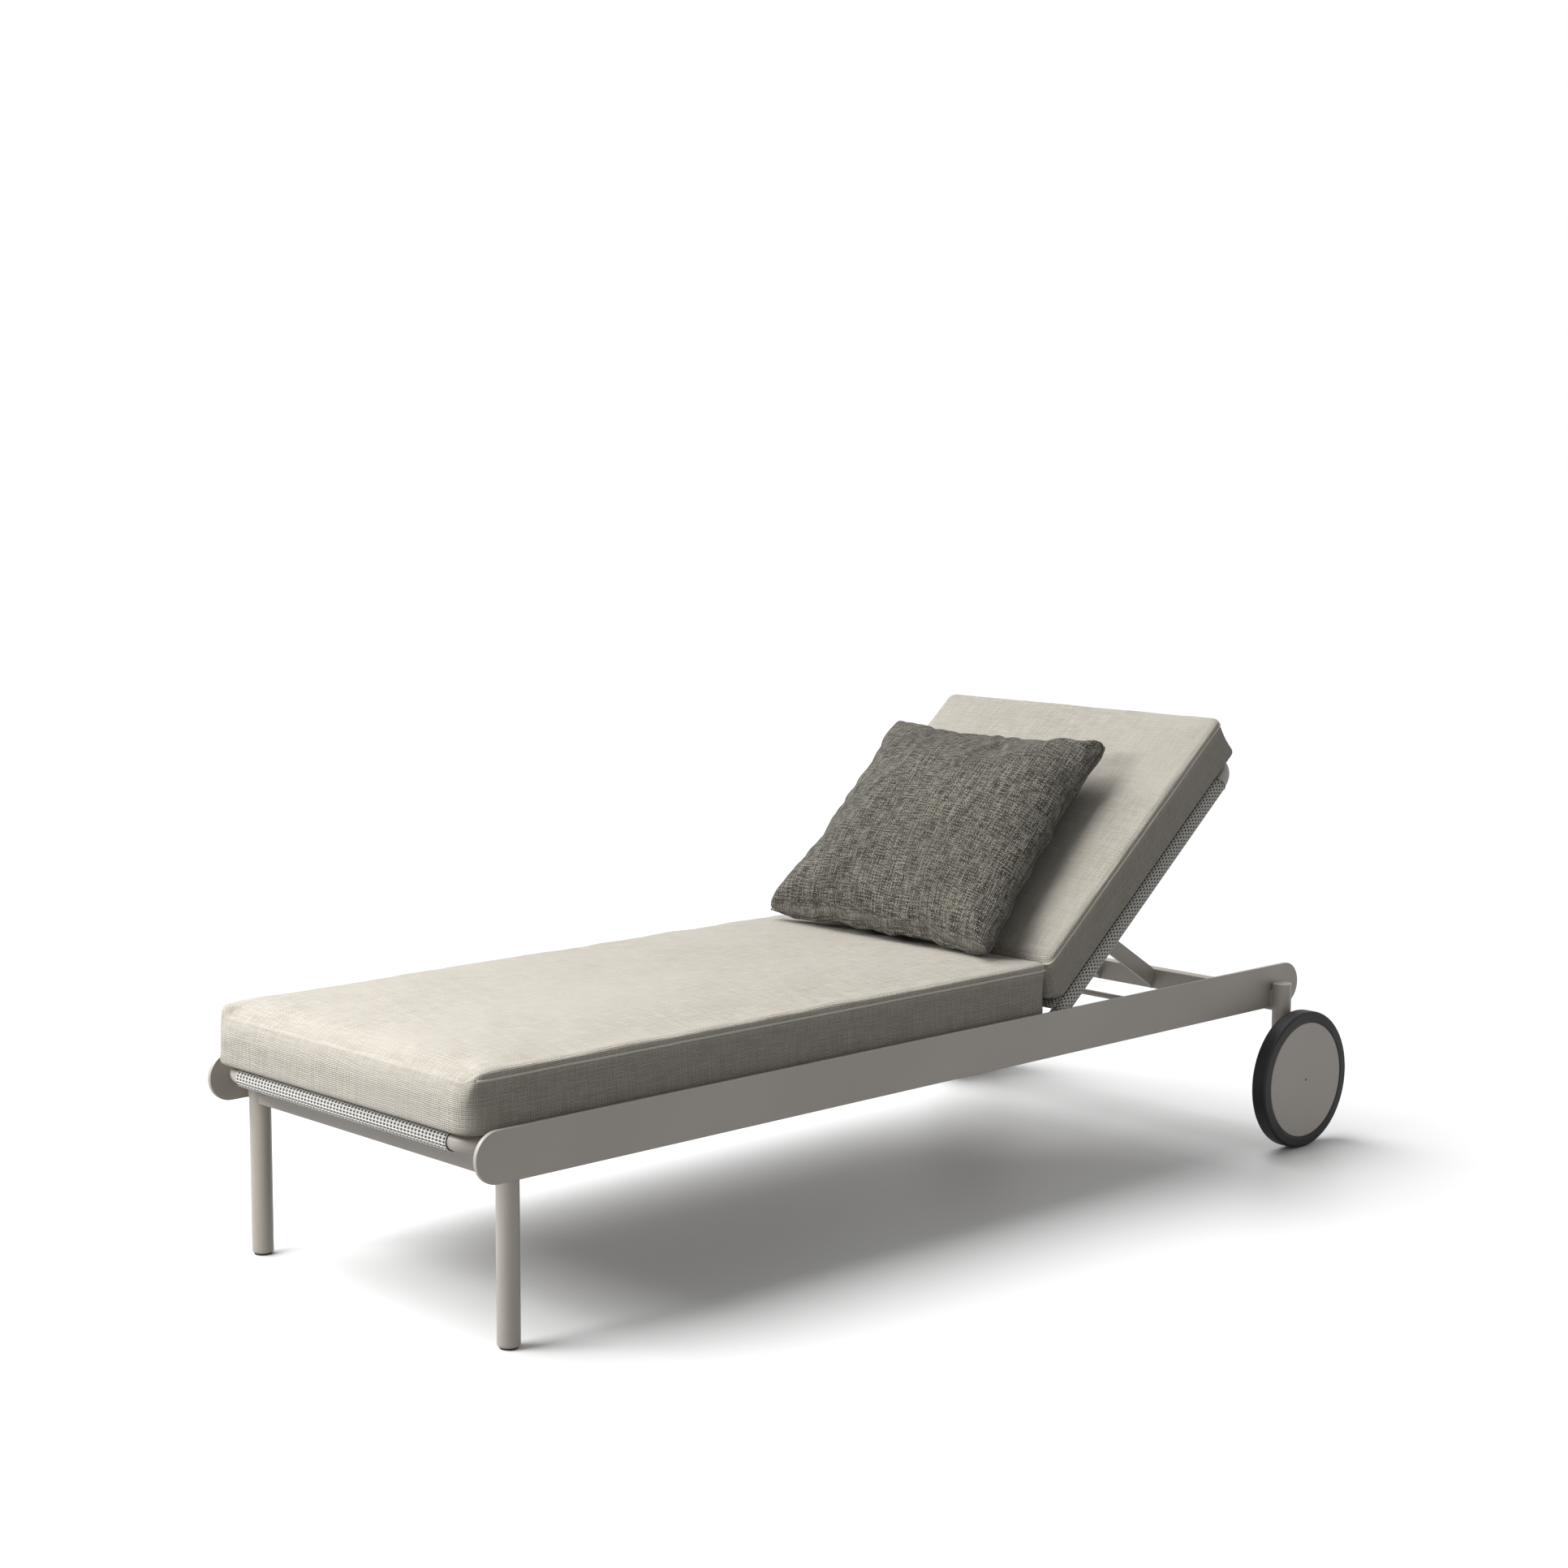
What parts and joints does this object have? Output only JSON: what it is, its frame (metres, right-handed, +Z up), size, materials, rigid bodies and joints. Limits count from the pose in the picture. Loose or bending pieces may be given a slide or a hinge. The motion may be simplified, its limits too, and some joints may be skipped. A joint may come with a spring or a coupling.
{
  "type": "reclining sun lounger",
  "caption": "Low outdoor lounger with flat side rails, a backrest on a prop stay, rear wheels, box cushions and a scatter pillow.",
  "frame": {"origin": "on the ground, at the middle of the length and the width", "axes": "+X across the lounger, +Y from the foot end towards the wheels, +Z up"},
  "size_m": [0.875, 2.0646, 0.8359],
  "materials": {
    "frame_paint": "fine-textured powder coat, warm stone grey",
    "steel": "brushed stainless",
    "black_rubber": "matt black",
    "tyre": "matt black rubber",
    "rim_plastic": "moulded nylon, stone grey",
    "nylon": "natural nylon",
    "sling_weave": "coated mesh weave, light grey",
    "cushion_cloth": "plain weave, warm beige",
    "pillow_cloth": "coarse weave, dark olive grey"
  },
  "bodies": {
    "frame": {"rail_left": "frame_paint", "rail_right": "frame_paint", "front_beam": "frame_paint", "rear_beam": "frame_paint", "tie_rod": "frame_paint", "front_leg_left": "frame_paint", "front_leg_right": "frame_paint", "leg_plates": "frame_paint", "leg_plate_screws": "steel", "foot_caps": "frame_paint", "foot_glides": "black_rubber", "rear_post_left": "frame_paint", "rear_post_right": "frame_paint", "post_top_caps": "frame_paint", "post_bottom_caps": "black_rubber", "corner_blocks": "frame_paint", "corner_screws": "steel", "seat_frame": "frame_paint", "seat_saddles": "frame_paint", "saddle_screws": "steel", "seat_sling": "sling_weave", "seat_sling_sleeves": "sling_weave", "seat_cushion": "cushion_cloth", "rest_pads": "black_rubber", "hinge_bolts": "steel", "hinge_washers": "nylon", "stay_lugs": "frame_paint", "stay_pins": "steel", "axle_bolts": "steel", "axle_spacers": "nylon", "axle_nuts": "steel"},
    "backrest": {"back_frame": "frame_paint", "back_end_caps": "black_rubber", "hinge_bushes": "nylon", "back_crossbar": "frame_paint", "guide_plate_left": "frame_paint", "guide_plate_right": "frame_paint", "guide_standoffs": "frame_paint", "back_sling": "sling_weave", "back_sling_sleeves": "sling_weave", "back_cushion": "cushion_cloth", "scatter_pillow": "pillow_cloth"},
    "stay": {"stay_arm_left": "frame_paint", "stay_arm_right": "frame_paint", "stay_brace": "frame_paint", "stay_rod": "frame_paint", "rod_end_caps": "black_rubber"},
    "wheel_left": {"tyre_left": "tyre", "rim_left": "rim_plastic", "wheel_cover_left": "frame_paint", "wheel_bush_left": "nylon"},
    "wheel_right": {"tyre_right": "tyre", "rim_right": "rim_plastic", "wheel_cover_right": "frame_paint", "wheel_bush_right": "nylon"}
  },
  "joints": [
    {"name": "backrest_recline", "type": "hinge", "parent": "frame", "child": "backrest", "pos_m": [0, 0.27135, 0.316], "axis": [1, 0, 0], "range_deg": [-39.7, 0]},
    {"name": "stay_fold", "type": "hinge", "parent": "frame", "child": "stay", "pos_m": [0, 0.87125, 0.288], "axis": [1, 0, 0], "range_deg": [0, 31.24]},
    {"name": "wheel_left_spin", "type": "hinge", "parent": "frame", "child": "wheel_left", "pos_m": [-0.422, 0.90075, 0.1315], "axis": [1, 0, 0], "continuous": true},
    {"name": "wheel_right_spin", "type": "hinge", "parent": "frame", "child": "wheel_right", "pos_m": [0.422, 0.90075, 0.1315], "axis": [1, 0, 0], "continuous": true}
  ],
  "couplings": [
    {"joint": "stay_fold", "follows": "backrest_recline", "ratio": -0.78553}
  ]
}
